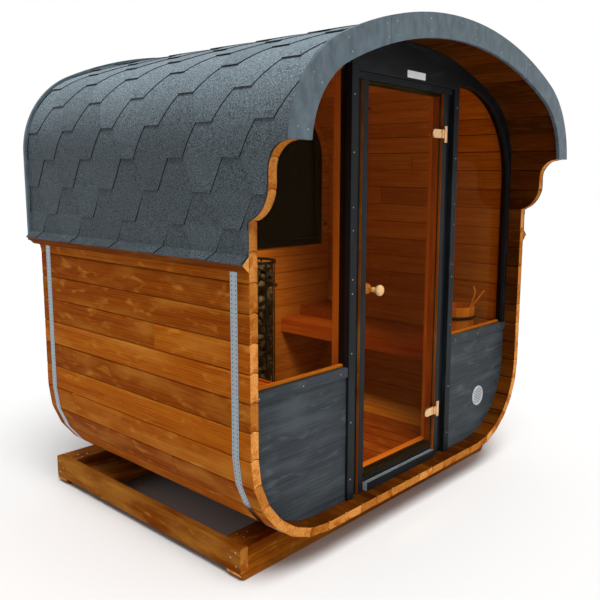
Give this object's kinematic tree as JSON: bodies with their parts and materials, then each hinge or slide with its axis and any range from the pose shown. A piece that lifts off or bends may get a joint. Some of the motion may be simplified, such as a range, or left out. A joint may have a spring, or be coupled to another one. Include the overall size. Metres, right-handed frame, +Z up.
{
  "type": "outdoor sauna cabin",
  "caption": "Outdoor sauna cabin: a rounded square shell of wooden staves under a shingled roof, with a glazed front, a hinged glass door, benches, a stove and a wide rear window.",
  "frame": {"origin": "on the ground, in the middle of the footprint of the whole cabin", "axes": "+Z up, +X to the right of a person who faces the door, +Y from the entrance to the rear"},
  "size_m": [2.2886, 1.985, 2.437],
  "materials": {
    "stave_wood": "oiled softwood staves",
    "base_wood": "brown-oiled timber",
    "roof_felt": "granulated bitumen shingles, blue-grey",
    "fascia_paint": "grey paint on board",
    "band_steel": "bright stainless strip",
    "black_wood": "black stain, grain shows",
    "tinted_glass": "bronze tinted safety glass",
    "hinge_metal": "satin, pale gold",
    "knob_wood": "turned, bare",
    "vent_cover": "light grey",
    "inner_wood": "bare planed softwood",
    "stove_steel": "matt black heat paint",
    "stone": "rough stones",
    "bucket_wood": "bare softwood staves"
  },
  "bodies": {
    "cabin": {"floor_staves": "stave_wood", "corner_staves": "stave_wood", "wall_staves_left": "stave_wood", "wall_staves_right": "stave_wood", "shoulder_staves_left": "stave_wood", "shoulder_staves_right": "stave_wood", "crown_staves": "stave_wood", "eave_battens": "stave_wood", "ground_beams": "base_wood", "side_beams": "base_wood", "cross_planks_lower": "base_wood", "cross_planks_upper": "base_wood", "shingles_left": "roof_felt", "shingles_right": "roof_felt", "shingles_crown": "roof_felt", "fascia_front_crown": "fascia_paint", "fascia_front_sides": "fascia_paint", "fascia_rear_crown": "fascia_paint", "fascia_rear_sides": "fascia_paint", "steel_bands": "band_steel", "front_panel_left": "black_wood", "front_panel_right": "black_wood", "sill_rails": "black_wood", "edge_frames": "black_wood", "front_posts": "black_wood", "door_jambs": "black_wood", "door_head": "black_wood", "head_panel": "black_wood", "threshold": "black_wood", "back_wall_lower": "black_wood", "back_wall_sides": "black_wood", "back_wall_top": "black_wood", "window_frame": "black_wood", "side_glass": "tinted_glass", "window_glass": "tinted_glass", "hinge_plates": "hinge_metal", "vent_grille": "vent_cover", "inner_sills": "inner_wood", "inner_threshold": "inner_wood", "inner_posts": "inner_wood", "floor_deck": "inner_wood", "bench_left": "inner_wood", "bench_right": "inner_wood", "headrest": "inner_wood", "stove_cage": "stove_steel", "stove_stones": "stone", "bucket": "bucket_wood", "ladle": "bucket_wood"},
    "door": {"door_glass": "tinted_glass", "hinge_clamps": "hinge_metal", "door_knobs": "knob_wood"}
  },
  "joints": [
    {"name": "door_hinge", "type": "hinge", "parent": "cabin", "child": "door", "pos_m": [0.314, -0.6735, 1.21], "axis": [0, 0, 1], "range_deg": [0, 110]}
  ]
}
